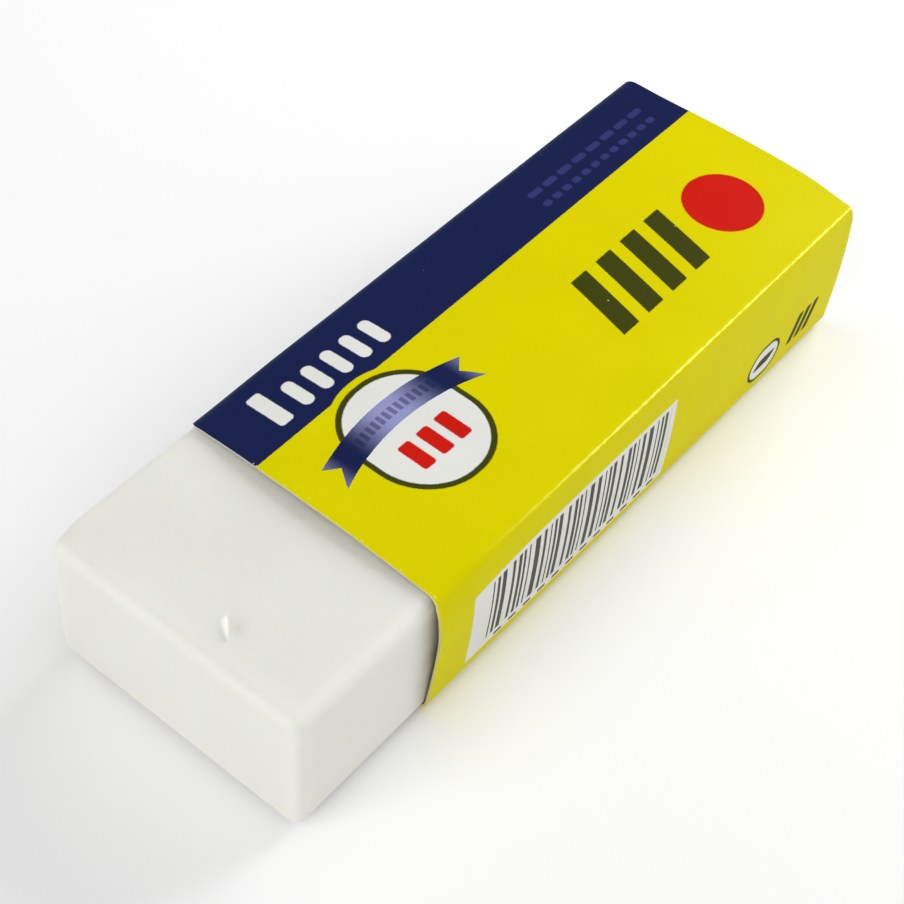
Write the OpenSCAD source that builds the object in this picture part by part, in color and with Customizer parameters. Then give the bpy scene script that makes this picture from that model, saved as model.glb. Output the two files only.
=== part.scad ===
// Vinyl block eraser in a folded card sleeve.
// X runs along the block, with the bare end at -X. The sleeve's flat underside lies on z = 0.

/* [Eraser block] */
// Length of the block
block_l = 65; // [40:1:90]
// Width of the block
block_w = 22.4; // [14:0.1:35]
// Height of the block
block_h = 12.4; // [8:0.1:20]
// Radius of the four long edges
long_edge_r = 1.1; // [0.8:0.1:3]
// Radius of the edges round both end faces
end_edge_r = 0.8; // [0.2:0.1:3]

/* [Card sleeve] */
// Length of bare block in front of the sleeve
bare_l = 13.75; // [4:0.25:30]
// Thickness of the card
card_t = 0.25; // [0.15:0.05:0.4]
// Outside radius of the two crisp folds: upper at -Y and lower at +Y
fold_r = 0.5; // [0.45:0.05:1]
// How much tighter the two soft folds are than folds that follow the block's edges
soft_fold_tuck = 0.05; // [0:0.05:0.7]
// How far the top panel bows up
top_bow = 0.4; // [0.1:0.05:1]
// How far each side panel bows out
side_bow = 0.2; // [0.1:0.05:0.8]
// Width of the glue flap, folded in under the block
flap_w = 8; // [4:0.5:12]
// How far the bottom panel's cut edge stops short of the glue flap's fold
cut_edge_inset = 0.2; // [0:0.1:2]

/* [Fit] */
// Gap between the block and the card, on every side
slide_gap = 0.1; // [0.05:0.05:0.5]

/* [Hidden] */
$fn = 64;

// Straight steps that stand in for a fold and for a panel's bow
fold_steps = 6;
bow_steps = 14;

// Heights: bottom panel, glue flap on it, then the block
flap_z = card_t;
block_z = flap_z + card_t + slide_gap;

// Outside radius of the soft folds, upper at +Y and lower at -Y, which wrap the block's edges
soft_fold_r = long_edge_r + slide_gap + card_t - soft_fold_tuck;

sleeve_l = block_l - bare_l;
sleeve_x = -block_l / 2 + bare_l;

// Half widths and tops of the sleeve's section, before its panels bow
inner_y = block_w / 2 + slide_gap;
outer_y = inner_y + card_t;
inner_top = block_z + block_h + slide_gap;
outer_top = inner_top + card_t;

// Points of an arc round c, from one angle to another
function arc(c, r, from, to) =
    [for (i = [0:fold_steps]) let (a = from + (to - from) * i / fold_steps) c + r * [cos(a), sin(a)]];

// Points between the ends of a panel that runs from p to q and bows out to its right
function bowed(p, q, rise) =
    let (run = q - p, out = [run[1], -run[0]] / norm(run))
    [for (i = [1:bow_steps - 1]) let (t = i / bow_steps) p + run * t + out * rise * 4 * t * (1 - t)];

// One face of the card from the fold under the +Y side, up, over and down to the flap's fold.
// half is the face's half width, low and flap_low its heights under the two sides, top its
// height under the bow, and crisp_r and soft_r the radii of its folds.
function wrap_face(half, low, flap_low, top, crisp_r, soft_r) = concat(
    arc([half - crisp_r, low + crisp_r], crisp_r, -90, 0),
    bowed([half, low + crisp_r], [half, top - soft_r], side_bow),
    arc([half - soft_r, top - soft_r], soft_r, 0, 90),
    bowed([half - soft_r, top], [-half + crisp_r, top], top_bow),
    arc([-half + crisp_r, top - crisp_r], crisp_r, 90, 180),
    bowed([-half, top - crisp_r], [-half, flap_low + soft_r], side_bow),
    arc([-half + soft_r, flap_low + soft_r], soft_r, 180, 270));

// Rectangle standing on y = 0 and centred on x, with rounded corners
module rounded_rect(w, h, r) {
    translate([-w / 2 + r, 0]) square([w - 2 * r, h]);
    translate([-w / 2, r]) square([w, h - 2 * r]);
    for (x = [-w / 2 + r, w / 2 - r], y = [r, h - r])
        translate([x, y]) circle(r = r);
}

// The folded strip, end on: the bottom panel lies under the glue flap and stops short of its fold
module sleeve_section() {
    cut_edge_y = -outer_y + soft_fold_r + cut_edge_inset;
    flap_end_y = -inner_y + flap_w;
    difference() {
        polygon(concat(
            wrap_face(outer_y, 0, flap_z, outer_top, fold_r, soft_fold_r),
            [[cut_edge_y, flap_z], [cut_edge_y, 0]]));
        polygon(concat(
            wrap_face(inner_y, card_t, flap_z + card_t, inner_top, fold_r - card_t, soft_fold_r - card_t),
            [[flap_end_y, flap_z + card_t], [flap_end_y, card_t]]));
    }
}

// Carries a drawing in x, y to the Y, Z plane and runs it along +X
module along_x(l) {
    rotate([90, 0, 90]) linear_extrude(height = l) children();
}

// White vinyl block: three prisms, one along each axis, leave all its edges rounded
module eraser_block() {
    color([0.90, 0.90, 0.87])
    translate([0, 0, block_z])
    intersection() {
        translate([-block_l / 2, 0, 0])
            along_x(block_l) rounded_rect(block_w, block_h, long_edge_r);
        translate([0, block_w / 2, 0]) rotate([90, 0, 0])
            linear_extrude(height = block_w) rounded_rect(block_l, block_h, end_edge_r);
        translate([0, -block_w / 2, 0])
            linear_extrude(height = block_h) rounded_rect(block_l, block_w, end_edge_r);
    }
}

// Card sleeve: one folded strip of card, glued to itself along the flap
module card_sleeve() {
    color([0.86, 0.84, 0.05])
    translate([sleeve_x, 0, 0]) along_x(sleeve_l) sleeve_section();
}

eraser_block();
card_sleeve();
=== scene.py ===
import math

import bmesh
import bpy
import numpy as np
from mathutils import Matrix, Vector, noise


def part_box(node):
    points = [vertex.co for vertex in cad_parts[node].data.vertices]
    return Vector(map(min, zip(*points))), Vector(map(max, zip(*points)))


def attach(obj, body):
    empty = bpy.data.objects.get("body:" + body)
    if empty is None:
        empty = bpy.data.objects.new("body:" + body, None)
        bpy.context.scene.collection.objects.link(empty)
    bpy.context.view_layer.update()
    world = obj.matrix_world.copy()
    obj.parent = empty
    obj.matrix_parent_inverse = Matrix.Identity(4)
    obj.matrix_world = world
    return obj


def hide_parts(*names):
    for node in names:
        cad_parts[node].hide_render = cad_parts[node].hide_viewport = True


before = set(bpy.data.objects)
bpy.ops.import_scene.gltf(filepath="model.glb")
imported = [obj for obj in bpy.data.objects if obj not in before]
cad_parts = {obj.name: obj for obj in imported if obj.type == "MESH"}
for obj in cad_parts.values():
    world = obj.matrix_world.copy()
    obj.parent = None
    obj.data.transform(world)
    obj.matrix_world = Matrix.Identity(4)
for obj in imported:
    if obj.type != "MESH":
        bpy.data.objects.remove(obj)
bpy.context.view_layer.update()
print("frame loaded:", sorted(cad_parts))

mm = 0.001
blockLow, blockHigh = [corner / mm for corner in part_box("eraser_block")]
sleeveLow, sleeveHigh = [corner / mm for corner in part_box("card_sleeve")]


def smoothStep(x):
    x = np.clip(x, 0, 1)
    return x * x * (3 - 2 * x)


def inkColour(red, green, blue):
    # screen colour out of 255, as the linear colour that a shader takes
    screen = np.array([red, green, blue]) / 255
    linear = np.where(screen <= 0.04045, screen / 12.92, ((screen + 0.055) / 1.055) ** 2.4)
    return (*linear.tolist(), 1.0)


# small helpers for shader and geometry trees

def addNode(tree, kind, **settings):
    node = tree.nodes.new(kind)
    for name, value in settings.items():
        setattr(node, name, value)
    return node


def feed(tree, socket, value):
    if isinstance(value, bpy.types.NodeSocket):
        tree.links.new(value, socket)
    elif value is not None:
        socket.default_value = value


def maths(tree, operation, *values):
    node = addNode(tree, "ShaderNodeMath", operation=operation)
    for socket, value in zip(node.inputs, values):
        feed(tree, socket, value)
    return node.outputs[0]


def times(tree, first, second):
    return maths(tree, "MULTIPLY", first, second)


def minus(tree, first, second):
    return maths(tree, "SUBTRACT", first, second)


def vectorMaths(tree, operation, *values):
    node = addNode(tree, "ShaderNodeVectorMath", operation=operation)
    for socket, value in zip(node.inputs, values):
        feed(tree, socket, value)
    scalar = operation in ("LENGTH", "DISTANCE", "DOT_PRODUCT")
    return node.outputs["Value" if scalar else "Vector"]


def scaled(tree, vector, scale):
    node = addNode(tree, "ShaderNodeVectorMath", operation="SCALE")
    feed(tree, node.inputs[0], vector)
    feed(tree, node.inputs["Scale"], scale)
    return node.outputs[0]


def split(tree, vector):
    node = addNode(tree, "ShaderNodeSeparateXYZ")
    feed(tree, node.inputs[0], vector)
    return node.outputs


def joined(tree, x, y, z=0.0):
    node = addNode(tree, "ShaderNodeCombineXYZ")
    for socket, value in zip(node.inputs, (x, y, z)):
        feed(tree, socket, value)
    return node.outputs[0]


def ramp(tree, value, fromLow, fromHigh, toLow=0.0, toHigh=1.0, smooth=True):
    kind = "SMOOTHSTEP" if smooth else "LINEAR"
    node = addNode(tree, "ShaderNodeMapRange", interpolation_type=kind)
    for socket, number in zip(node.inputs, (value, fromLow, fromHigh, toLow, toHigh)):
        feed(tree, socket, number)
    return node.outputs[0]


def mixColour(tree, factor, under, over, blend="MIX"):
    node = addNode(tree, "ShaderNodeMix", data_type="RGBA", blend_type=blend)
    feed(tree, node.inputs[0], factor)
    feed(tree, node.inputs[6], under)
    feed(tree, node.inputs[7], over)
    return node.outputs[2]


def noiseValue(tree, vector, scale, detail=2.0, rough=0.5):
    node = addNode(tree, "ShaderNodeTexNoise")
    feed(tree, node.inputs["Vector"], vector)
    node.inputs["Scale"].default_value = scale
    node.inputs["Detail"].default_value = detail
    node.inputs["Roughness"].default_value = rough
    return node.outputs[0]


def newGroup(name, kind, inputs, outputs):
    # sockets are (name, type) pairs; returns the tree, its inputs and its output node
    tree = bpy.data.node_groups.new(name, kind)
    for socketName, socketType in inputs:
        tree.interface.new_socket(socketName, in_out="INPUT", socket_type=socketType)
    for socketName, socketType in outputs:
        tree.interface.new_socket(socketName, in_out="OUTPUT", socket_type=socketType)
    given = addNode(tree, "NodeGroupInput").outputs
    result = addNode(tree, "NodeGroupOutput").inputs
    return tree, given, result


def useGroup(tree, group, **values):
    node = addNode(tree, "ShaderNodeGroup", node_tree=group)
    for name, value in values.items():
        feed(tree, node.inputs[name], value)
    return node.outputs


def addToScene(name, data):
    thing = bpy.data.objects.new(name, data)
    bpy.context.scene.collection.objects.link(thing)
    return thing


def newMaterial(name):
    material = bpy.data.materials.new(name)
    material.use_nodes = True
    tree = material.node_tree
    tree.nodes.clear()
    shader = addNode(tree, "ShaderNodeBsdfPrincipled")
    output = addNode(tree, "ShaderNodeOutputMaterial")
    tree.links.new(shader.outputs[0], output.inputs["Surface"])
    return material, tree, shader.inputs


def addBump(tree, shader, grain, finish):
    bump = addNode(tree, "ShaderNodeBump")
    bump.inputs["Strength"].default_value = finish["bump"]
    bump.inputs["Distance"].default_value = finish["bumpDepth"]
    feed(tree, bump.inputs["Height"], grain["Height"])
    feed(tree, shader["Normal"], bump.outputs[0])


floatSocket = "NodeSocketFloat"
vectorSocket = "NodeSocketVector"


def makeGrainGroup(fineShare=0.3):
    # fine grain and slow mottling; Height is for a Bump node, Tone for the colour
    tree, given, result = newGroup(
        "surfaceGrain",
        "ShaderNodeTree",
        [("Place", vectorSocket), ("Grain", floatSocket), ("Mottle", floatSocket)],
        [("Height", floatSocket), ("Tone", floatSocket)],
    )
    fine = addNode(tree, "ShaderNodeTexNoise")
    slow = addNode(tree, "ShaderNodeTexNoise")
    for node, scale in ((fine, given["Grain"]), (slow, given["Mottle"])):
        feed(tree, node.inputs["Vector"], given["Place"])
        feed(tree, node.inputs["Scale"], scale)
    fine.inputs["Detail"].default_value = 3.0
    slow.inputs["Detail"].default_value = 2.0
    feed(tree, result["Height"], fine.outputs[0])
    slowPart = times(tree, slow.outputs[0], 1 - fineShare)
    blended = maths(tree, "MULTIPLY_ADD", fine.outputs[0], fineShare, slowPart)
    feed(tree, result["Tone"], blended)
    return tree


def makeSpeckGroup():
    # scattered specks: a share of the cells holds one, of its own size
    tree, given, result = newGroup(
        "scatteredSpecks",
        "ShaderNodeTree",
        [("Place", vectorSocket), ("Density", floatSocket), ("Size", floatSocket), ("Share", floatSocket)],
        [("Mask", floatSocket)],
    )
    cells = addNode(tree, "ShaderNodeTexVoronoi")
    feed(tree, cells.inputs["Vector"], given["Place"])
    feed(tree, cells.inputs["Scale"], given["Density"])
    drawn = split(tree, cells.outputs["Color"])
    reach = times(tree, given["Size"], drawn[1])
    near = maths(tree, "LESS_THAN", cells.outputs["Distance"], reach)
    chosen = maths(tree, "LESS_THAN", drawn[0], given["Share"])
    feed(tree, result["Mask"], times(tree, near, chosen))
    return tree


def makeShapeGroup():
    # a rounded rectangle, pill or disc printed on a flat map, with slightly soft ink edges
    tree, given, result = newGroup(
        "printShape",
        "ShaderNodeTree",
        [
            ("Map", vectorSocket),
            ("Centre", vectorSocket),
            ("Half Size", vectorSocket),
            ("Corner", floatSocket),
            ("Slant", floatSocket),
            ("Blur", floatSocket),
        ],
        [("Mask", floatSocket)],
    )
    away = split(tree, vectorMaths(tree, "SUBTRACT", given["Map"], given["Centre"]))
    upright = minus(tree, away[0], times(tree, away[1], given["Slant"]))
    size = split(tree, given["Half Size"])
    sides = []
    for distance, half in ((upright, size[0]), (away[1], size[1])):
        core = minus(tree, half, given["Corner"])
        sides.append(minus(tree, maths(tree, "ABSOLUTE", distance), core))
    beyond = [maths(tree, "MAXIMUM", side, 0.0) for side in sides]
    outside = vectorMaths(tree, "LENGTH", joined(tree, *beyond))
    inside = maths(tree, "MINIMUM", maths(tree, "MAXIMUM", *sides), 0.0)
    edge = minus(tree, maths(tree, "ADD", outside, inside), given["Corner"])
    spread = maths(tree, "DIVIDE", edge, given["Blur"])
    feed(tree, result["Mask"], ramp(tree, spread, -1.0, 1.0, 1.0, 0.0))
    return tree


grainGroup = makeGrainGroup()
speckGroup = makeSpeckGroup()
shapeGroup = makeShapeGroup()
print("shared node groups made")


def grainOn(tree, finish):
    # the piece's own coordinates, and the grain at the scales of that finish
    place = addNode(tree, "ShaderNodeTexCoord").outputs["Object"]
    return place, useGroup(tree, grainGroup, Place=place, Grain=finish["grain"], Mottle=finish["mottle"])


card = {
    # all lengths are in mm
    "thick": 0.2,
    "closer": 0.05,           # how much nearer the block the card lies than the plain solid
    "crispFold": 0.5,         # radius of the sharper folds
    "softFold": 1.35,         # radius of the far upper fold
    "farFoldOpen": 1.6,       # the same fold at the opening
    "openFold": 1.3,          # radius of the near upper fold right at the opening
    "lowFoldOpen": 1.45,      # radius of the near lower fold at the opening
    "lowFoldEnd": 0.7,        # and at the other end
    "openReach": 6.0,         # how far in from the opening the folds stay open
    "topBow": 0.4,
    "sideBow": 0.2,
    "openSideBow": 0.35,      # bow of the near side right at the opening
    "bowLift": 0.4,           # how far that bow moves up the side, as a share
    "footLift": 0.12,         # how far the foot of the near side is lifted at the opening
    "panelStart": -9.95,      # the bottom panel's cut edge
    "flapEnd": -3.3,          # how far the glue flap reaches under the block
    "glueLine": 0.02,
    "edgeStart": 0.3,         # how far the cut edge lies past the plain section's end
    "edgeSkew": 0.25,         # how much further at the near upper fold
    "topSkewReach": 7.0,      # how wide that is on the top
    "sideSkewReach": 4.0,     # and on the near side
    "midSkew": 0.12,          # how much further in the middle of the top
    "midSkewReach": 6.0,
    "lowSkew": 0.55,          # and at the foot of the near side
    "lowSkewReach": 13.0,     # the way down the side in which that grows
    "farSkew": 0.9,           # how far it falls back past the far fold
    "farSkewStart": 10.4,     # from the middle of the top
    "farSkewReach": 2.2,
    "flapStart": 1.0,         # the flap's edge begins this far past the middle of its fold
    "flapFade": 1.5,          # and the foot's skew is gone this much further on
    "flapCut": 1.2,           # how far the flap's edge is cut back at the opening
    "flapCutReach": 3.0,
    "cornerDent": 0.5,        # how far the upper near corner of the other end is knocked back
    "topDent": 3.0,           # how wide that dent is on the top
    "sideDent": 0.9,          # and on the near side
    "cornerLong": 0.3,        # how far the upper far corner of the other end stands out
    "longReach": 3.0,
    "endReach": 4.0,          # how far in from the other end these two still show
    "ragged": 0.03,
    "raggedSizes": (0.5, 2.5),
    "waver": 0.03,
    "waverSize": 9.0,
    "seed": 11,
    "fineReach": 3.0,         # the mesh is finer this far in from the opening
    "fineStep": 0.15,
    "rows": 110,              # rows of points on the rest of the length
    "steps": (22, 8, 16, 12, 34, 10, 22, 12, 10),   # points on each panel and fold, in turn
    "plainPlace": 0.35,       # share of the length where the wrap map is measured
    "sharpAngle": 50,         # degrees
}

block = {
    "longEdge": 1.1,      # mm, radius of the edges along the length
    "endEdge": 0.8,       # mm, how far the rounding reaches along the length at the ends
    "gridStep": 0.3,
    "waver": 0.06,        # mm, how unevenly the moulded faces sink in
    "waverScale": 110.0,
    "seed": 4.0,
    "wornReach": 3.0,     # mm, how far the worn corner reaches from its tip
    "wornDepth": 0.45,
}
nick = {
    # all lengths are in mm; across and along are measured from its middle
    "place": (-29.7, -2.6),
    "turn": 45,                   # degrees, the cut's line against the width of the block
    "radius": 2.4,                # the mesh is finer this far round it
    "cuts": 3,
    "fade": 0.6,                  # how softly it ends in the flat face
    "height": 0.26,
    "halfWidth": 0.62,
    "tipWidth": 0.02,
    "taper": (1.05, 1.5),         # where the tongue comes to its tip, and from how far back
    "wall": (0.02, 0.1),          # where its steep side stands, and how wide that is
    "start": (1.1, 0.7),          # how far back its root lies, and how softly it rises there
    "end": (1.1, 0.25),           # the same at its tip
    "dentPlace": (0.75, 0.1),
    "dentSpread": (0.6, 0.9),
    "dentDepth": 0.12,
    # how strongly shade is painted into the dent
    "dentShadeTone": 0.45,
}
vinyl = {
    "colour": (229, 229, 223),
    "shade": (225, 224, 218),     # the slow mottling's darker end
    # painted highlight along the rounded edges
    "edgeHighlight": (240, 240, 236),
    "edgeHighlightStrength": 0.35,
    "edgeHighlightReach": (2.6, 1.5, 1.5),  # mm, how far in from the edges the painted highlight shows
    "grimeAndShade": (150, 138, 104),     # painted shade beside the card's edge, with ink and dirt where the edge rubs
    "grimeAndShadeWidth": 3.0,            # mm
    "grimeAndShadeTop": 0.14,
    "grimeAndShadeSide": 0.66,
    "grimeAndShadeCorner": 0.8,           # mm, in which it grows from the top's strength to the side's
    "grimeAndShadePatches": 420.0,        # per metre
    "nickHighlight": (252, 252, 248),
    # painted shade in the dent behind the nick
    "dentAndShade": (206, 204, 190),
    "dentShadeStrength": 0.8,
    "speck": (120, 112, 96),
    "speckStrength": 0.7,
    "specks": {"Density": 330.0, "Size": 0.06, "Share": 0.12},
    "grain": 2600.0,              # per metre
    "mottle": 90.0,
    "bump": 0.12,
    "bumpDepth": 0.05 * mm,
    "roughness": 0.52,
    "roughSpread": 0.12,
    "specular": 0.35,
    "glow": 0.35,                 # share of light that goes in and comes out again
    "glowReach": 1.6 * mm,
    "glowTint": (1.0, 0.85, 0.65),
}


def makeVinyl():
    material, tree, shader = newMaterial("whiteVinyl")
    place, grain = grainOn(tree, vinyl)
    specks = useGroup(tree, speckGroup, Place=place, **vinyl["specks"])
    tone = ramp(tree, grain["Tone"], 0.3, 0.7)
    base = mixColour(tree, tone, inkColour(*vinyl["shade"]), inkColour(*vinyl["colour"]))
    # painted highlight along the edges: they are painted lighter where two of the three directions reach
    # into the edge strip
    reach = Vector(vinyl["edgeHighlightReach"]) * mm
    core = (blockHigh - blockLow) * mm / 2 - reach
    away = vectorMaths(tree, "SUBTRACT", place, tuple((blockHigh + blockLow) * mm / 2))
    away = vectorMaths(tree, "SUBTRACT", vectorMaths(tree, "ABSOLUTE", away), tuple(core))
    away = vectorMaths(tree, "MAXIMUM", vectorMaths(tree, "DIVIDE", away, tuple(reach)), (0, 0, 0))
    x, y, z = split(tree, away)
    pairs = [times(tree, *pair) for pair in ((x, y), (y, z), (x, z))]
    most = maths(tree, "MAXIMUM", maths(tree, "MAXIMUM", pairs[0], pairs[1]), pairs[2])
    edgeHighlightMask = times(tree, ramp(tree, grain["Tone"], 0.35, 0.65, 0.4, 1.0), vinyl["edgeHighlightStrength"])
    edgeHighlightMask = times(tree, ramp(tree, most, 0.0, 0.9), edgeHighlightMask)
    base = mixColour(tree, edgeHighlightMask, base, inkColour(*vinyl["edgeHighlight"]))
    # painted shade from the card's edge on the block, warm and uneven and partly a real line of grime,
    # strongest on the near side
    fromBareEnd, fromMiddle = split(tree, place)[:2]
    fromLine = minus(tree, fromBareEnd, (sleeveLow[0] - card["edgeStart"]) * mm)
    width = vinyl["grimeAndShadeWidth"] * mm
    outer = ramp(tree, fromLine, -width, 0.0)
    inner = ramp(tree, fromLine, 0.0, width, 1.0, 0.0)
    grimeAndShadeMask = times(tree, times(tree, outer, outer), inner)
    side = blockLow[1] * mm
    sideEdge = (blockLow[1] + vinyl["grimeAndShadeCorner"]) * mm
    onSide = ramp(tree, fromMiddle, sideEdge, side, vinyl["grimeAndShadeTop"], vinyl["grimeAndShadeSide"])
    patchy = ramp(tree, noiseValue(tree, place, vinyl["grimeAndShadePatches"], 3.0, 0.6), 0.3, 0.7, 0.75, 1.0)
    grimeAndShadeMask = times(tree, grimeAndShadeMask, times(tree, onSide, patchy))
    base = mixColour(tree, grimeAndShadeMask, base, inkColour(*vinyl["grimeAndShade"]))
    # the nick's tone: painted highlight on its raised tongue, painted shade in its dent
    nickLightAndShade = addNode(tree, "ShaderNodeAttribute", attribute_name="nickTone").outputs["Fac"]
    base = mixColour(tree, ramp(tree, nickLightAndShade, 0.0, 1.0), base, inkColour(*vinyl["nickHighlight"]))
    dentShadeMask = ramp(tree, nickLightAndShade, 0.0, -1.0, 0.0, vinyl["dentShadeStrength"])
    base = mixColour(tree, dentShadeMask, base, inkColour(*vinyl["dentAndShade"]))
    specked = times(tree, specks["Mask"], vinyl["speckStrength"])
    base = mixColour(tree, specked, base, inkColour(*vinyl["speck"]))
    feed(tree, shader["Base Color"], base)
    smoothest = vinyl["roughness"] - vinyl["roughSpread"] / 2
    uneven = maths(tree, "MULTIPLY_ADD", tone, vinyl["roughSpread"], smoothest)
    feed(tree, shader["Roughness"], uneven)
    shader["Subsurface Weight"].default_value = vinyl["glow"]
    shader["Subsurface Radius"].default_value = vinyl["glowTint"]
    shader["Subsurface Scale"].default_value = vinyl["glowReach"]
    shader["Specular IOR Level"].default_value = vinyl["specular"]
    addBump(tree, shader, grain, vinyl)
    return material


whiteVinyl = makeVinyl()


def makeBlockTree():
    # a box grid whose outer points are drawn in to rounded edges, then sunk in a little by noise
    tree, given, result = newGroup(
        "roundedBlock",
        "GeometryNodeTree",
        [
            ("Geometry", "NodeSocketGeometry"),
            ("Low", vectorSocket),
            ("High", vectorSocket),
            ("Edge Reach", vectorSocket),
            ("Grid Step", floatSocket),
            ("Waver", floatSocket),
            ("Waver Scale", floatSocket),
            ("Seed", floatSocket),
            ("Material", "NodeSocketMaterial"),
        ],
        [("Geometry", "NodeSocketGeometry")],
    )
    size = vectorMaths(tree, "SUBTRACT", given["High"], given["Low"])
    middle = scaled(tree, vectorMaths(tree, "ADD", given["High"], given["Low"]), 0.5)
    step = joined(tree, given["Grid Step"], given["Grid Step"], given["Grid Step"])
    counts = split(tree, vectorMaths(tree, "CEIL", vectorMaths(tree, "DIVIDE", size, step)))
    cube = addNode(tree, "GeometryNodeMeshCube")
    feed(tree, cube.inputs["Size"], size)
    for socketName, count in zip(("Vertices X", "Vertices Y", "Vertices Z"), counts):
        feed(tree, cube.inputs[socketName], count)
    point = addNode(tree, "GeometryNodeInputPosition").outputs[0]
    core = vectorMaths(tree, "SUBTRACT", scaled(tree, size, 0.5), given["Edge Reach"])
    held = vectorMaths(tree, "MAXIMUM", point, scaled(tree, core, -1.0))
    held = vectorMaths(tree, "MINIMUM", held, core)
    away = vectorMaths(tree, "DIVIDE", vectorMaths(tree, "SUBTRACT", point, held), given["Edge Reach"])
    outward = vectorMaths(tree, "NORMALIZE", away)
    rounded = vectorMaths(tree, "ADD", held, vectorMaths(tree, "MULTIPLY", outward, given["Edge Reach"]))
    uneven = addNode(tree, "ShaderNodeTexNoise", noise_dimensions="4D")
    feed(tree, uneven.inputs["Vector"], point)
    feed(tree, uneven.inputs["W"], given["Seed"])
    feed(tree, uneven.inputs["Scale"], given["Waver Scale"])
    uneven.inputs["Detail"].default_value = 1.0
    sink = times(tree, uneven.outputs[0], given["Waver"])
    sunk = vectorMaths(tree, "SUBTRACT", rounded, scaled(tree, outward, sink))
    placed = vectorMaths(tree, "ADD", sunk, middle)
    shaped = addNode(tree, "GeometryNodeSetPosition")
    feed(tree, shaped.inputs["Geometry"], cube.outputs["Mesh"])
    feed(tree, shaped.inputs["Position"], placed)
    smooth = addNode(tree, "GeometryNodeSetShadeSmooth")
    feed(tree, smooth.inputs["Geometry"], shaped.outputs[0])
    realized = addNode(tree, "GeometryNodeRealizeInstances")
    feed(tree, realized.inputs["Geometry"], smooth.outputs[0])
    finish = addNode(tree, "GeometryNodeSetMaterial")
    feed(tree, finish.inputs["Geometry"], realized.outputs[0])
    feed(tree, finish.inputs["Material"], given["Material"])
    feed(tree, result["Geometry"], finish.outputs[0])
    return tree


def meshFromTree(name, tree, values):
    # runs a geometry tree once and keeps its result as a plain mesh object
    holder = addToScene(name + "Holder", bpy.data.meshes.new(name + "Holder"))
    modifier = holder.modifiers.new("shape", "NODES")
    modifier.node_group = tree
    for item in tree.interface.items_tree:
        if item.item_type == "SOCKET" and item.in_out == "INPUT" and item.name in values:
            modifier[item.identifier] = values[item.name]
    evaluated = holder.evaluated_get(bpy.context.evaluated_depsgraph_get())
    mesh = bpy.data.meshes.new_from_object(evaluated)
    mesh.name = name
    bpy.data.objects.remove(holder)
    return addToScene(name, mesh)


def nickShape(across, along):
    # a small tongue of vinyl that was cut and stands up, with a shallow dent behind it
    # along runs to the tongue's pointed end; returns the height and the tone, 1 for the painted highlight
    # on the tongue to -1 for the painted shade in the dent
    dentAcross, dentAlong = nick["dentPlace"]
    dentWidth, dentLength = nick["dentSpread"]
    dentAndShade = math.exp(-((across - dentAcross) / dentWidth) ** 2 - ((along - dentAlong) / dentLength) ** 2)
    tip, taper = nick["taper"]
    width = nick["halfWidth"] * float(smoothStep((tip - along) / taper)) + nick["tipWidth"]
    wall, wallWidth = nick["wall"]
    rise = float(smoothStep((across + width) / width))
    drop = float(smoothStep(1 - (across - wall) / wallWidth))
    root, rootEase = nick["start"]
    end, endEase = nick["end"]
    length = float(smoothStep((along + root) / rootEase) * smoothStep((end - along) / endEase))
    tongue = (rise if across < wall else drop) * length
    return nick["height"] * tongue - nick["dentDepth"] * dentAndShade, tongue - nick["dentShadeTone"] * dentAndShade


def addNickAndWear(piece):
    bm = bmesh.new()
    bm.from_mesh(piece.data)
    nickX, nickY = nick["place"]
    topFace = (blockHigh[2] - block["gridStep"]) * mm

    def fromNick(vertex):
        return vertex.co.x / mm - nickX, vertex.co.y / mm - nickY

    def nearNick(vertex):
        return vertex.co.z > topFace and math.hypot(*fromNick(vertex)) < nick["radius"]

    edges = [edge for edge in bm.edges if all(nearNick(vertex) for vertex in edge.verts)]
    bmesh.ops.subdivide_edges(bm, edges=edges, cuts=nick["cuts"], use_grid_fill=True)
    tone = bm.verts.layers.float.new("nickTone")
    turn = math.radians(nick["turn"])
    for vertex in bm.verts:
        if nearNick(vertex):
            offX, offY = fromNick(vertex)
            across = offX * math.cos(turn) - offY * math.sin(turn)
            along = -offX * math.sin(turn) - offY * math.cos(turn)
            edgeFade = float(smoothStep((nick["radius"] - math.hypot(offX, offY)) / nick["fade"]))
            height, nickHighlightAndShade = nickShape(across, along)
            vertex.co.z += height * edgeFade * mm
            vertex[tone] = nickHighlightAndShade * edgeFade
    # the far upper corner of the bare end is worn round
    tip = Vector((blockLow[0], blockHigh[1], blockHigh[2])) * mm
    inward = Vector((1, -1, -1)).normalized()
    for vertex in bm.verts:
        near = 1 - (vertex.co - tip).length / (block["wornReach"] * mm)
        vertex.co += inward * block["wornDepth"] * mm * float(smoothStep(near))
    bm.to_mesh(piece.data)
    bm.free()


blockReach = (block["endEdge"] * mm, block["longEdge"] * mm, block["longEdge"] * mm)
blockPiece = meshFromTree(
    "vinylBlock",
    makeBlockTree(),
    {
        "Low": tuple(blockLow * mm),
        "High": tuple(blockHigh * mm),
        "Edge Reach": blockReach,
        "Grid Step": block["gridStep"] * mm,
        "Waver": block["waver"] * mm,
        "Waver Scale": block["waverScale"],
        "Seed": block["seed"],
        "Material": whiteVinyl,
    },
)
addNickAndWear(blockPiece)
for polygon in blockPiece.data.polygons:
    polygon.use_smooth = True
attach(blockPiece, "block")
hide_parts("eraser_block")
print("block made:", len(blockPiece.data.polygons), "faces")

halfWidth = sleeveHigh[1] - card["sideBow"] - card["closer"]
topLevel = sleeveHigh[2] - card["topBow"] - card["closer"]


def arcLine(centreY, centreZ, radius, start, end, count):
    angles = np.radians(np.linspace(start, end, count))
    return np.stack([centreY + radius * np.cos(angles), centreZ + radius * np.sin(angles)], 1)


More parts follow.
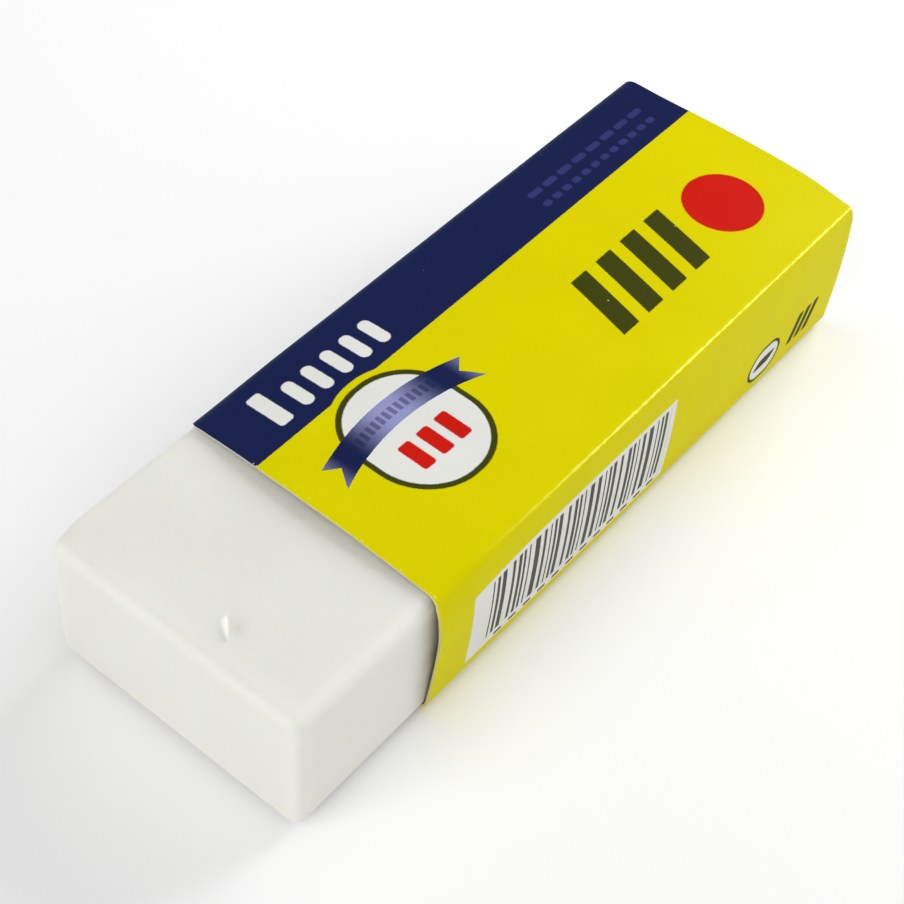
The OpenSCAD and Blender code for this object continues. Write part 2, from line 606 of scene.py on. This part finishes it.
def panelLine(start, end, count, outward=0.0):
    # points between two folds; outward is an offset or a function of the share of the way
    shares = np.linspace(0, 1, count + 2)[1:-1]
    start = np.array(start)
    end = np.array(end)
    way = (end - start) / np.linalg.norm(end - start)
    offset = outward(shares) if callable(outward) else np.full(count, outward)
    normal = np.array([way[1], -way[0]])
    return start + shares[:, None] * (end - start) + offset[:, None] * normal


def bowed(height):
    return lambda share: 4 * height * share * (1 - share)


def between(start, end, share):
    return start + (end - start) * share


def sectionLine(openness, along):
    # the card's outer line, from the bottom panel's cut edge round to the glue flap's end
    crisp = card["crispFold"]
    soft = between(card["softFold"], card["farFoldOpen"], openness)
    eased = between(crisp, card["openFold"], openness)
    lowFold = between(card["lowFoldOpen"], card["lowFoldEnd"], along)
    flapLevel = card["thick"] + card["footLift"] * openness
    near = -halfWidth

    def nearBow(share):
        # the bow moves up towards the open fold, so the foot of the side is drawn in
        lifted = share ** (1 - card["bowLift"] * openness)
        return between(card["sideBow"], card["openSideBow"], openness) * np.sin(np.pi * lifted)

    bottom, farLow, farSide, farTop, top, nearTop, nearSide, nearLow, flap = card["steps"]
    return np.concatenate([
        panelLine((card["panelStart"], 0), (halfWidth - crisp, 0), bottom),
        arcLine(halfWidth - crisp, crisp, crisp, -90, 0, farLow),
        panelLine((halfWidth, crisp), (halfWidth, topLevel - soft), farSide, bowed(card["sideBow"])),
        arcLine(halfWidth - soft, topLevel - soft, soft, 0, 90, farTop),
        panelLine((halfWidth - soft, topLevel), (near + eased, topLevel), top, bowed(card["topBow"])),
        arcLine(near + eased, topLevel - eased, eased, 90, 180, nearTop),
        panelLine((near, topLevel - eased), (near, flapLevel + lowFold), nearSide, nearBow),
        arcLine(near + lowFold, flapLevel + lowFold, lowFold, 180, 270, nearLow),
        panelLine((near + lowFold, flapLevel), (card["flapEnd"], flapLevel), flap, -card["glueLine"]),
    ])


def sectionNormals(line):
    way = np.gradient(line, axis=0)
    way /= np.linalg.norm(way, axis=1)[:, None]
    return np.stack([way[:, 1], -way[:, 0]], 1)


plainSection = sectionLine(0.0, card["plainPlace"])
girthSteps = np.linalg.norm(np.diff(plainSection, axis=0), axis=1)
girthRun = np.concatenate([[0], np.cumsum(girthSteps)])
upperHalf = plainSection[:, 1] > topLevel / 2
topMiddle = np.argmin(np.where(upperHalf, np.abs(plainSection[:, 0]), np.inf))
# distance round the card from the middle of the top, positive towards +Y
girthPlace = girthRun[topMiddle] + plainSection[topMiddle, 0] - girthRun


def girthAt(y, z):
    # where a point of the plain section lies on the wrap map
    apart = np.hypot(plainSection[:, 0] - y, plainSection[:, 1] - z)
    return float(girthPlace[np.argmin(apart)])


# where the folds lie on the wrap map, in mm
nearFold = girthAt(-halfWidth, topLevel)
farFold = girthAt(halfWidth, topLevel)
farBottomFold = girthAt(halfWidth, 0)
flapFold = girthAt(-halfWidth, card["thick"])


def waverAt(x, girth, scale, seed):
    return noise.noise(Vector((x / scale, girth / scale, seed)))


def bell(distance, reach):
    return math.exp(-(distance / reach) ** 2)


def edgeShapes():
    # how far the cut edge at the opening and the edge at the other end lie along X, in mm
    flapStart = flapFold - card["flapStart"]
    openEdge = np.zeros(len(plainSection))
    farEdge = np.zeros(len(plainSection))
    for i, girth in enumerate(girthPlace):
        onTop = girth > nearFold
        reach = card["topSkewReach"] if onTop else card["sideSkewReach"]
        skew = card["edgeSkew"] * bell(girth - nearFold, reach)
        skew += card["midSkew"] * bell(girth, card["midSkewReach"])
        foot = min(max((nearFold - girth) / card["lowSkewReach"], 0), 1) ** 2
        skew += card["lowSkew"] * foot * (1 - float(smoothStep((flapStart - girth) / card["flapFade"])))
        skew -= card["flapCut"] * float(smoothStep((flapStart - girth) / card["flapCutReach"]))
        skew -= card["farSkew"] * float(smoothStep((girth - card["farSkewStart"]) / card["farSkewReach"]))
        ragged = 0
        for n, size in enumerate(card["raggedSizes"]):
            ragged += waverAt(0, girth, size, card["seed"] + n)
        openEdge[i] = card["ragged"] * ragged - skew - card["edgeStart"]
        dentReach = card["topDent"] if onTop else card["sideDent"]
        farEdge[i] = card["cornerLong"] * bell(girth - farFold, card["longReach"])
        farEdge[i] -= card["cornerDent"] * bell(girth - nearFold, dentReach)
    return openEdge, farEdge


def makeSleeve():
    openEdge, farEdge = edgeShapes()
    points = len(plainSection)
    span = sleeveHigh[0] - sleeveLow[0]
    fine = np.arange(0, card["fineReach"], card["fineStep"])
    stations = np.concatenate([fine, np.linspace(card["fineReach"], span, card["rows"])])
    outer = []
    inner = []
    for station in stations:
        share = 1 - station / span
        line = sectionLine(bell(station, card["openReach"]), 1 - share)
        normals = sectionNormals(line)
        endShare = max(0.0, 1 - (span - station) / card["endReach"])
        xs = sleeveLow[0] + station + openEdge * share ** 2 + farEdge * endShare ** 2
        wave = [waverAt(x, girth, card["waverSize"], card["seed"]) for x, girth in zip(xs, girthPlace)]
        line = line + normals * (card["waver"] * np.array(wave))[:, None]
        line[:, 1] = np.maximum(line[:, 1], 0)     # it stands flat
        outer.append(np.column_stack([xs, line]))
        inner.append(np.column_stack([xs, line - normals * card["thick"]]))
    outer = np.array(outer)
    inner = np.array(inner)
    rows = len(stations)
    verts = np.concatenate([outer.reshape(-1, 3), inner.reshape(-1, 3)]) * mm
    first = rows * points

    def corner(row, point, layer):
        return layer * first + row * points + point

    faces = []
    kinds = []     # 0 printed outside, 1 raw inside, 2 cut edge

    def addFace(corners, kind, turned=False):
        face = [corner(*each) for each in corners]
        faces.append(face[::-1] if turned else face)
        kinds.append(kind)

    for row in range(rows - 1):
        for point in range(points - 1):
            quad = [(row, point), (row, point + 1), (row + 1, point + 1), (row + 1, point)]
            addFace([(*each, 0) for each in quad], 0)
            addFace([(*each, 1) for each in quad], 1, turned=True)
        for point, turned in ((0, True), (points - 1, False)):
            strip = [(row, point, 0), (row, point, 1), (row + 1, point, 1), (row + 1, point, 0)]
            addFace(strip, 2, turned)
    for point in range(points - 1):
        for row, turned in ((0, True), (rows - 1, False)):
            strip = [(row, point, 0), (row, point + 1, 0), (row, point + 1, 1), (row, point, 1)]
            addFace(strip, 2, turned)
    mesh = bpy.data.meshes.new("cardSleeve")
    mesh.from_pydata(verts.tolist(), [], faces)
    wrap = mesh.uv_layers.new(name="wrapMap")
    mapped = np.column_stack([np.tile(outer[:, :, 0].ravel(), 2), np.tile(girthPlace, 2 * rows)])
    loopVerts = np.zeros(len(mesh.loops), np.int32)
    mesh.loops.foreach_get("vertex_index", loopVerts)
    wrap.uv.foreach_set("vector", mapped[loopVerts].astype(np.float32).ravel())
    mesh.polygons.foreach_set("material_index", kinds)
    mesh.polygons.foreach_set("use_smooth", [True] * len(faces))
    mesh.update()
    mesh.set_sharp_from_angle(angle=math.radians(card["sharpAngle"]))
    return addToScene("cardSleeve", mesh)


sleevePiece = makeSleeve()
print("sleeve made:", len(sleevePiece.data.polygons), "faces")

printing = {
    "yellow": (215, 205, 0),
    "navy": (26, 34, 76),
    "olive": (62, 66, 18),
    "red": (200, 28, 18),
    "white": (224, 224, 219),
    "faintBlue": (48, 56, 108),
    "lavender": (146, 148, 196),
    "barGrey": (84, 82, 78),
    "pinhole": (215, 213, 175),
    "crease": (250, 246, 105),   # painted highlight along the near upper fold, partly the ink worn thin there
    "chip": (236, 230, 130),     # and chipped off by the cut edge
    "pinholes": {"Density": 0.9, "Size": 0.08, "Share": 0.12},
    "pinholeStrength": 0.55,
    "creaseStart": 3,            # mm from the opening where the painted highlight and the wear begin
    "creaseFull": 22,            # and where it is full
    "creaseWidth": (0.04, 0.16),
    "creaseNoise": (1.3, 4.0, 0.7),      # scale, detail and roughness
    "chipNoise": (2.6, 3.0, 0.7),
    "chipReach": 0.3,            # mm, the longest chip
    "chipStrength": 0.7,
    "blur": 0.06,
    "wander": 0.08,              # mm, how much the ink's edges wander
    "wanderScale": 6.0,
    "grain": 3200.0,
    "mottle": 160.0,
    "roughness": (0.36, 0.46),
    "specular": 0.012,
    "coat": 0.03,
    "coatRoughness": 0.22,
    "bump": 0.1,
    "bumpDepth": 0.03 * mm,
}
# Where each thing is printed, in mm: along the sleeve, and round it from the middle of the top.
# A shape is its centre, half size, corner radius and slant. A row is its place round the sleeve,
# start, pitch, count, half size, corner radius and slant. Where a fold gives the place, it is left out.
layout = {
    "bandEdge": 4.7,             # where the navy band starts on the top
    "bandPast": 1.2,             # how far it runs on under the far bottom fold
    "tallPill": ((-14.6, 7.75), (0.65, 1.85), 0.3),
    "pills": (7.3, -13.2, 2.05, 5, (0.55, 1.4), 0.5),
    "longDashes": (7.9, 15.0, 1.9, 8, (0.75, 0.3), 0.25),
    "shortDashes": (6.4, 15.0, 1.25, 12, (0.42, 0.3), 0.25),
    "badge": (-9.2, -1.1),
    "badgeRims": (
        ("yellow", (5.4, 6.25), 5.2),
        ("olive", (4.95, 5.7), 4.7),
        ("white", (4.5, 5.25), 4.3),
    ),
    "badgeBars": (-2.75, -12.0, 1.9, 3, (0.6, 1.35), 0.25),
    "ribbonPivot": -18.0,        # the ribbon is an arc about this place below the badge
    "ribbonRadius": 19.2,
    "ribbonHalf": 1.15,
    "ribbonEnd": 7.3,
    "ribbonFork": 1.1,
    "ribbonShade": (0.3, 4.6),   # pale in the middle, dark from here on
    "ribbonTails": (5.6, 7.4, 0.0, 0.55),    # and paler again at the tails
    "ribbonPitch": 0.62,         # of the dashes on it
    "ribbonDash": 0.36,
    "ribbonDashEnd": 4.6,
    "ribbonDashHalf": (0.32, 0.42),          # a share of its half width
    "ribbonDashTone": 0.55,
    "bars": (-3.4, 8.2, 3.1, 4, (0.95, 3.05), 0.1, 0.25),
    "disc": ((25.0, -3.7), (3.3, 3.3), 3.3),
    "labelTop": 2.95,            # below the near upper fold
    "labelLow": 11.4,
    "labelPlace": (-3.6, 11.95),     # middle and half length
    "stripePlace": (-2.95, 10.7),
    "stripeRaise": 0.25,
    "stripeInset": 0.75,
    "stripeRate": 8.8,           # of the sine wave whose crests are the stripes, per mm
    "stripeSway": (1.9, 1.7),    # rate and size of the wave that sways it
    "stripeSwell": (2.9, 0.55),  # and of the one that makes it wide and narrow
    "stripeCrest": (-0.05, 0.3),
    "digitRaise": 0.35,
    "digits": (-12.8, 1.7, 12, (0.45, 0.16), 0.1),
    "mark": 9.45,                # below the near upper fold
    "markPlace": 22.2,
    "markDiscs": (
        ("olive", (2.25, 1.85), 1.85),
        ("white", (1.95, 1.55), 1.55),
        ("olive", (1.2, 0.5), 0.4, 0.8),
    ),
    "markBarsRaise": 0.4,
    "markBars": (26.1, 1.15, 3, (0.38, 1.5), 0.2, 0.3),
    "farPills": (-14.0, 2.05, 6, (0.72, 1.35), 0.45),
    "farApart": 0.6,             # the rows of dashes lie this far either side of the panel's middle
    "farLongDashes": (10.0, 1.9, 10, (0.75, 0.22), 0.2),
    "farShortDashes": (10.0, 1.25, 15, (0.42, 0.22), 0.2),
    "bottomRows": (
        (1.5, -12.0, 2.4, 15, (0.95, 0.25), 0.2),
        (0.0, -12.0, 1.6, 20, (0.6, 0.25), 0.2),
        (-1.5, -12.0, 3.2, 8, (1.3, 0.25), 0.2),
    ),
}


def makePrintedCard():
    material, tree, shader = newMaterial("printedCard")
    wrap = addNode(tree, "ShaderNodeUVMap", uv_map="wrapMap").outputs[0]
    grain = grainOn(tree, printing)[1]
    # the ink's edges wander a little with the screen it was printed through
    jitter = addNode(tree, "ShaderNodeTexNoise")
    feed(tree, jitter.inputs["Vector"], wrap)
    jitter.inputs["Scale"].default_value = printing["wanderScale"]
    shift = vectorMaths(tree, "SUBTRACT", jitter.outputs["Color"], (0.5, 0.5, 0.5))
    mapped = vectorMaths(tree, "ADD", wrap, scaled(tree, shift, printing["wander"]))
    along, girth = split(tree, mapped)[:2]

    def shape(centre, halfSize, corner=0.0, slant=0.0, on=mapped):
        return useGroup(
            tree,
            shapeGroup,
            Map=on,
            Centre=(*centre, 0),
            **{"Half Size": (*halfSize, 0)},
            Corner=corner,
            Slant=slant,
            Blur=printing["blur"],
        )["Mask"]

    def row(centreGirth, start, pitch, count, halfSize, corner=0.0, slant=0.0):
        # equal shapes side by side along the sleeve
        leant = minus(tree, girth, centreGirth)
        leant = minus(tree, along, times(tree, leant, slant))
        cell = maths(tree, "FLOORED_MODULO", minus(tree, leant, start), pitch)
        local = joined(tree, minus(tree, cell, pitch / 2), girth)
        one = shape((0, centreGirth), halfSize, corner, 0.0, local)
        width = count * pitch / 2
        whole = shape((start + width, centreGirth), (width, halfSize[1] * 1.5), 0.0, slant)
        return times(tree, one, whole)

    layers = []

    def ink(mask, inkName):
        layers.append((mask, inkName))

    def lessThan(value, limit):
        return maths(tree, "LESS_THAN", value, limit)

    def absolute(value):
        return maths(tree, "ABSOLUTE", value)

    def sine(value, rate, size=1.0):
        wave = maths(tree, "SINE", times(tree, value, rate))
        return times(tree, wave, size)

    # navy band along the far edge of the top, over the fold and down the far side
    band = ramp(tree, girth, layout["bandEdge"] - 0.05, layout["bandEdge"] + 0.05)
    band = times(tree, band, lessThan(girth, farBottomFold + layout["bandPast"]))
    ink(band, "navy")
    # row of white pills where a name would stand, and two faint rows of dashes
    ink(shape(*layout["tallPill"]), "white")
    ink(row(*layout["pills"]), "white")
    ink(row(*layout["longDashes"]), "faintBlue")
    ink(row(*layout["shortDashes"]), "faintBlue")
    # plain round-ended badge with a ribbon across it
    badgeMiddle = layout["badge"][0]
    for inkName, halfSize, corner in layout["badgeRims"]:
        ink(shape(layout["badge"], halfSize, corner), inkName)
    ink(row(*layout["badgeBars"]), "red")
    radius = vectorMaths(tree, "DISTANCE", mapped, (badgeMiddle, layout["ribbonPivot"], 0))
    fromMiddle = minus(tree, radius, layout["ribbonRadius"])
    fromMiddle = absolute(maths(tree, "DIVIDE", fromMiddle, layout["ribbonHalf"]))
    sideways = absolute(minus(tree, along, badgeMiddle))
    fork = times(tree, minus(tree, 1.0, fromMiddle), layout["ribbonFork"])
    tail = lessThan(sideways, minus(tree, layout["ribbonEnd"], fork))
    ribbon = times(tree, lessThan(fromMiddle, 1.0), tail)
    ribbonShade = ramp(tree, sideways, *layout["ribbonShade"])
    tails = ramp(tree, sideways, *layout["ribbonTails"])
    ribbonShade = minus(tree, ribbonShade, tails)
    navy = inkColour(*printing["navy"])
    ribbonTone = mixColour(tree, ribbonShade, inkColour(*printing["lavender"]), navy)
    dash = lessThan(maths(tree, "FLOORED_MODULO", along, layout["ribbonPitch"]), layout["ribbonDash"])
    dash = times(tree, dash, ramp(tree, fromMiddle, *layout["ribbonDashHalf"], 1.0, 0.0))
    dash = times(tree, dash, lessThan(sideways, layout["ribbonDashEnd"]))
    ribbonTone = mixColour(tree, times(tree, dash, layout["ribbonDashTone"]), ribbonTone, navy)
    # bold slanted bars and a plain disc
    ink(row(*layout["bars"]), "olive")
    ink(shape(*layout["disc"]), "red")
    # white label with plain uneven stripes on the near side
    labelTop = nearFold - layout["labelTop"]
    labelLow = nearFold - layout["labelLow"]
    labelMiddle = (labelTop + labelLow) / 2
    labelHalf = (labelTop - labelLow) / 2
    middle, half = layout["labelPlace"]
    ink(shape((middle, labelMiddle), (half, labelHalf), 0.1), "white")
    sway = sine(along, *layout["stripeSway"])
    beat = maths(tree, "SINE", maths(tree, "MULTIPLY_ADD", along, layout["stripeRate"], sway))
    swell = sine(along, *layout["stripeSwell"])
    stripes = ramp(tree, maths(tree, "ADD", beat, swell), *layout["stripeCrest"])
    middle, half = layout["stripePlace"]
    stripeHalf = labelHalf - layout["stripeInset"]
    stripeField = shape((middle, labelMiddle + layout["stripeRaise"]), (half, stripeHalf))
    ink(times(tree, stripes, stripeField), "barGrey")
    digitGirth = labelLow + layout["digitRaise"]
    ink(row(digitGirth, *layout["digits"]), "barGrey")
    # small disc with a dark rim and a short bar in it, and three small bars beside it
    markGirth = nearFold - layout["mark"]
    for inkName, *sizes in layout["markDiscs"]:
        ink(shape((layout["markPlace"], markGirth), *sizes), inkName)
    ink(row(markGirth + layout["markBarsRaise"], *layout["markBars"]), "olive")
    # far side and bottom, which repeat the same plain shapes
    farMiddle = (farFold + farBottomFold) / 2
    ink(row(farMiddle, *layout["farPills"]), "white")
    ink(row(farMiddle + layout["farApart"], *layout["farLongDashes"]), "faintBlue")
    ink(row(farMiddle - layout["farApart"], *layout["farShortDashes"]), "faintBlue")
    bottomMiddle = farBottomFold + halfWidth
    for apart, *sizes in layout["bottomRows"]:
        ink(row(bottomMiddle + apart, *sizes), "olive")

    colour = inkColour(*printing["yellow"])
    for mask, inkName in layers:
        colour = mixColour(tree, mask, colour, inkColour(*printing[inkName]))
    colour = mixColour(tree, ribbon, colour, ribbonTone)
    # slow unevenness of the ink, then pinholes, the crease's worn ink and painted highlight, and the
    # chipped cut edge
    tone = ramp(tree, grain["Tone"], 0.3, 0.7, 0.97, 1.02)
    colour = mixColour(tree, 1.0, colour, joined(tree, tone, tone, tone), "MULTIPLY")
    pinholes = useGroup(tree, speckGroup, Place=wrap, **printing["pinholes"])["Mask"]
    pinholes = times(tree, pinholes, printing["pinholeStrength"])
    colour = mixColour(tree, pinholes, colour, inkColour(*printing["pinhole"]))
    # painted highlight along the crisp fold, partly the ink worn thin there
    fromCrease = absolute(minus(tree, girth, nearFold))
    creaseNoise = noiseValue(tree, wrap, *printing["creaseNoise"])
    creaseWidth = ramp(tree, creaseNoise, 0.3, 0.75, *printing["creaseWidth"])
    creaseWearAndHighlight = ramp(tree, maths(tree, "DIVIDE", fromCrease, creaseWidth), 0.5, 1.3, 1.0, 0.0)
    creaseLineStart = sleeveLow[0] + printing["creaseStart"]
    creaseLineFull = sleeveLow[0] + printing["creaseFull"]
    creaseWearAndHighlight = times(tree, creaseWearAndHighlight, ramp(tree, along, creaseLineStart, creaseLineFull))
    colour = mixColour(tree, creaseWearAndHighlight, colour, inkColour(*printing["crease"]))
    fromCut = minus(tree, along, sleeveLow[0] - card["edgeStart"])
    chipNoise = noiseValue(tree, wrap, *printing["chipNoise"])
    chipReach = ramp(tree, chipNoise, 0.62, 0.8, 0.0, printing["chipReach"])
    chipped = times(tree, lessThan(fromCut, chipReach), lessThan(0.01, chipReach))
    chipped = times(tree, chipped, printing["chipStrength"])
    colour = mixColour(tree, chipped, colour, inkColour(*printing["chip"]))
    feed(tree, shader["Base Color"], colour)
    feed(tree, shader["Roughness"], ramp(tree, grain["Tone"], 0.3, 0.7, *printing["roughness"]))
    shader["Specular IOR Level"].default_value = printing["specular"]
    shader["Coat Weight"].default_value = printing["coat"]
    shader["Coat Roughness"].default_value = printing["coatRoughness"]
    addBump(tree, shader, grain, printing)
    return material


board = {
    "dark": (196, 190, 172),
    "pale": (222, 218, 202),
    "strand": (170, 160, 140),
    "strandScale": 900.0,
    "strandStretch": (1.0, 6.0, 6.0),
    "strandShow": (0.56, 0.7, 0.0, 0.35),
    "grain": 2400.0,
    "mottle": 260.0,
    "yellowDrag": 0.7,           # how much ink is dragged over the cut edge
    "navyDrag": 0.25,            # less of the dark ink, so the board's pale core shows there
    "roughness": (0.8, 0.92),
    "specular": 0.25,
    "bump": 0.25,
    "bumpDepth": 0.04 * mm,
}


def makeRawCard(name, cutEdge=False):
    # uncoated board, with the print's colour dragged over it on the cut edge
    material, tree, shader = newMaterial(name)
    place, grain = grainOn(tree, board)
    tone = ramp(tree, grain["Tone"], 0.3, 0.7)
    base = mixColour(tree, tone, inkColour(*board["dark"]), inkColour(*board["pale"]))
    stretch = addNode(tree, "ShaderNodeMapping")
    stretch.inputs["Scale"].default_value = board["strandStretch"]
    feed(tree, stretch.inputs["Vector"], place)
    strands = noiseValue(tree, stretch.outputs[0], board["strandScale"])
    strands = ramp(tree, strands, *board["strandShow"])
    base = mixColour(tree, strands, base, inkColour(*board["strand"]))
    if cutEdge:
        girth = split(tree, addNode(tree, "ShaderNodeUVMap", uv_map="wrapMap").outputs[0])[1]
        band = maths(tree, "GREATER_THAN", girth, layout["bandEdge"])
        ink = mixColour(tree, band, inkColour(*printing["yellow"]), inkColour(*printing["navy"]))
        less = board["navyDrag"] - board["yellowDrag"]
        share = maths(tree, "MULTIPLY_ADD", band, less, board["yellowDrag"])
        dragged = times(tree, ramp(tree, grain["Tone"], 0.35, 0.65, 0.4, 1.0), share)
        base = mixColour(tree, dragged, base, ink)
    feed(tree, shader["Base Color"], base)
    feed(tree, shader["Roughness"], ramp(tree, tone, 0.0, 1.0, *board["roughness"]))
    shader["Specular IOR Level"].default_value = board["specular"]
    addBump(tree, shader, grain, board)
    return material


sleevePiece.data.materials.append(makePrintedCard())
sleevePiece.data.materials.append(makeRawCard("rawCard"))
sleevePiece.data.materials.append(makeRawCard("cutCard", cutEdge=True))
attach(sleevePiece, "sleeve")
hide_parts("card_sleeve")
print("sleeve printed")

studio = {
    "floorSize": 4.0,            # metres
    "floorDrop": 0.02 * mm,      # just under the object
    "floorColour": (247, 247, 247),
    "floorRoughness": 0.9,
    "floorSpecular": 0.1,
    "worldStrength": 0.66,
    "darkSide": 0.15,            # the room behind the object, which the top panel mirrors
    "darkFrom": 0.75,            # where that begins and is full, 1 being straight behind
    "darkFull": 0.95,
    "backdrop": 0.93,            # how bright the room looks past the floor's end
    "softboxes": [
        # name, azimuth, elevation, distance, size, watts
        ("backBox", 81, 29, 0.3, 0.2, 0.68),
        ("frontBox", -100, 36, 0.6, 0.4, 1.3),
    ],
}
view = {
    "target": (-4.243, -0.767, 6.6),      # mm
    "azimuth": -54.785,                   # degrees, and so are the next two
    "elevation": 49.181,
    "roll": 5.363,
    "distance": 139.28,                   # mm
    "lens": 75.6,
    "nearest": 0.005,                     # metres
    "furthest": 20,
}


def directionFrom(azimuth, elevation):
    turn = math.radians(azimuth)
    rise = math.radians(elevation)
    return Vector((math.sin(turn) * math.cos(rise), -math.cos(turn) * math.cos(rise), math.sin(rise)))


def makeStudio():
    half = studio["floorSize"] / 2
    mesh = bpy.data.meshes.new("floor")
    corners = [(-half, -half, 0), (half, -half, 0), (half, half, 0), (-half, half, 0)]
    mesh.from_pydata(corners, [], [(0, 1, 2, 3)])
    floor = addToScene("floor", mesh)
    floor.location.z = -studio["floorDrop"]
    material, tree, shader = newMaterial("paleFloor")
    shader["Base Color"].default_value = inkColour(*studio["floorColour"])
    shader["Roughness"].default_value = studio["floorRoughness"]
    shader["Specular IOR Level"].default_value = studio["floorSpecular"]
    mesh.materials.append(material)
    world = bpy.data.worlds.new("studio")
    world.use_nodes = True
    tree = world.node_tree
    background = tree.nodes["Background"]
    direction = addNode(tree, "ShaderNodeTexCoord").outputs["Generated"]
    away = directionFrom(view["azimuth"] + 180, view["elevation"])
    facing = vectorMaths(tree, "DOT_PRODUCT", direction, tuple(away))
    behind = (studio["darkFrom"], studio["darkFull"])
    strength = ramp(tree, facing, *behind, studio["worldStrength"], studio["darkSide"])
    seen = addNode(tree, "ShaderNodeLightPath").outputs["Is Camera Ray"]
    strength = ramp(tree, seen, 0.0, 1.0, strength, studio["backdrop"], False)
    feed(tree, background.inputs["Strength"], strength)
    background.inputs["Color"].default_value = (1.0, 1.0, 1.0, 1.0)
    bpy.context.scene.world = world
    for name, azimuth, elevation, distance, size, watts in studio["softboxes"]:
        light = bpy.data.lights.new(name, "AREA")
        light.energy = watts
        light.size = size
        box = addToScene(name, light)
        direction = directionFrom(azimuth, elevation)
        box.location = direction * distance
        box.rotation_euler = direction.to_track_quat("Z", "Y").to_euler()
    bpy.context.scene.view_settings.view_transform = "Standard"


def makeCamera():
    back = directionFrom(view["azimuth"], view["elevation"])
    turn = math.radians(view["azimuth"])
    level = Vector((math.cos(turn), math.sin(turn), 0))
    upright = back.cross(level)
    roll = math.radians(view["roll"])
    right = math.cos(roll) * level + math.sin(roll) * upright
    up = math.cos(roll) * upright - math.sin(roll) * level
    place = (Vector(view["target"]) + back * view["distance"]) * mm
    camera = bpy.data.cameras.new("camera")
    camera.lens = view["lens"]
    camera.clip_start = view["nearest"]
    camera.clip_end = view["furthest"]
    holder = addToScene("camera", camera)
    holder.matrix_world = Matrix.Translation(place) @ Matrix((right, up, back)).transposed().to_4x4()
    bpy.context.scene.camera = holder


makeStudio()
makeCamera()
print("studio and camera made")
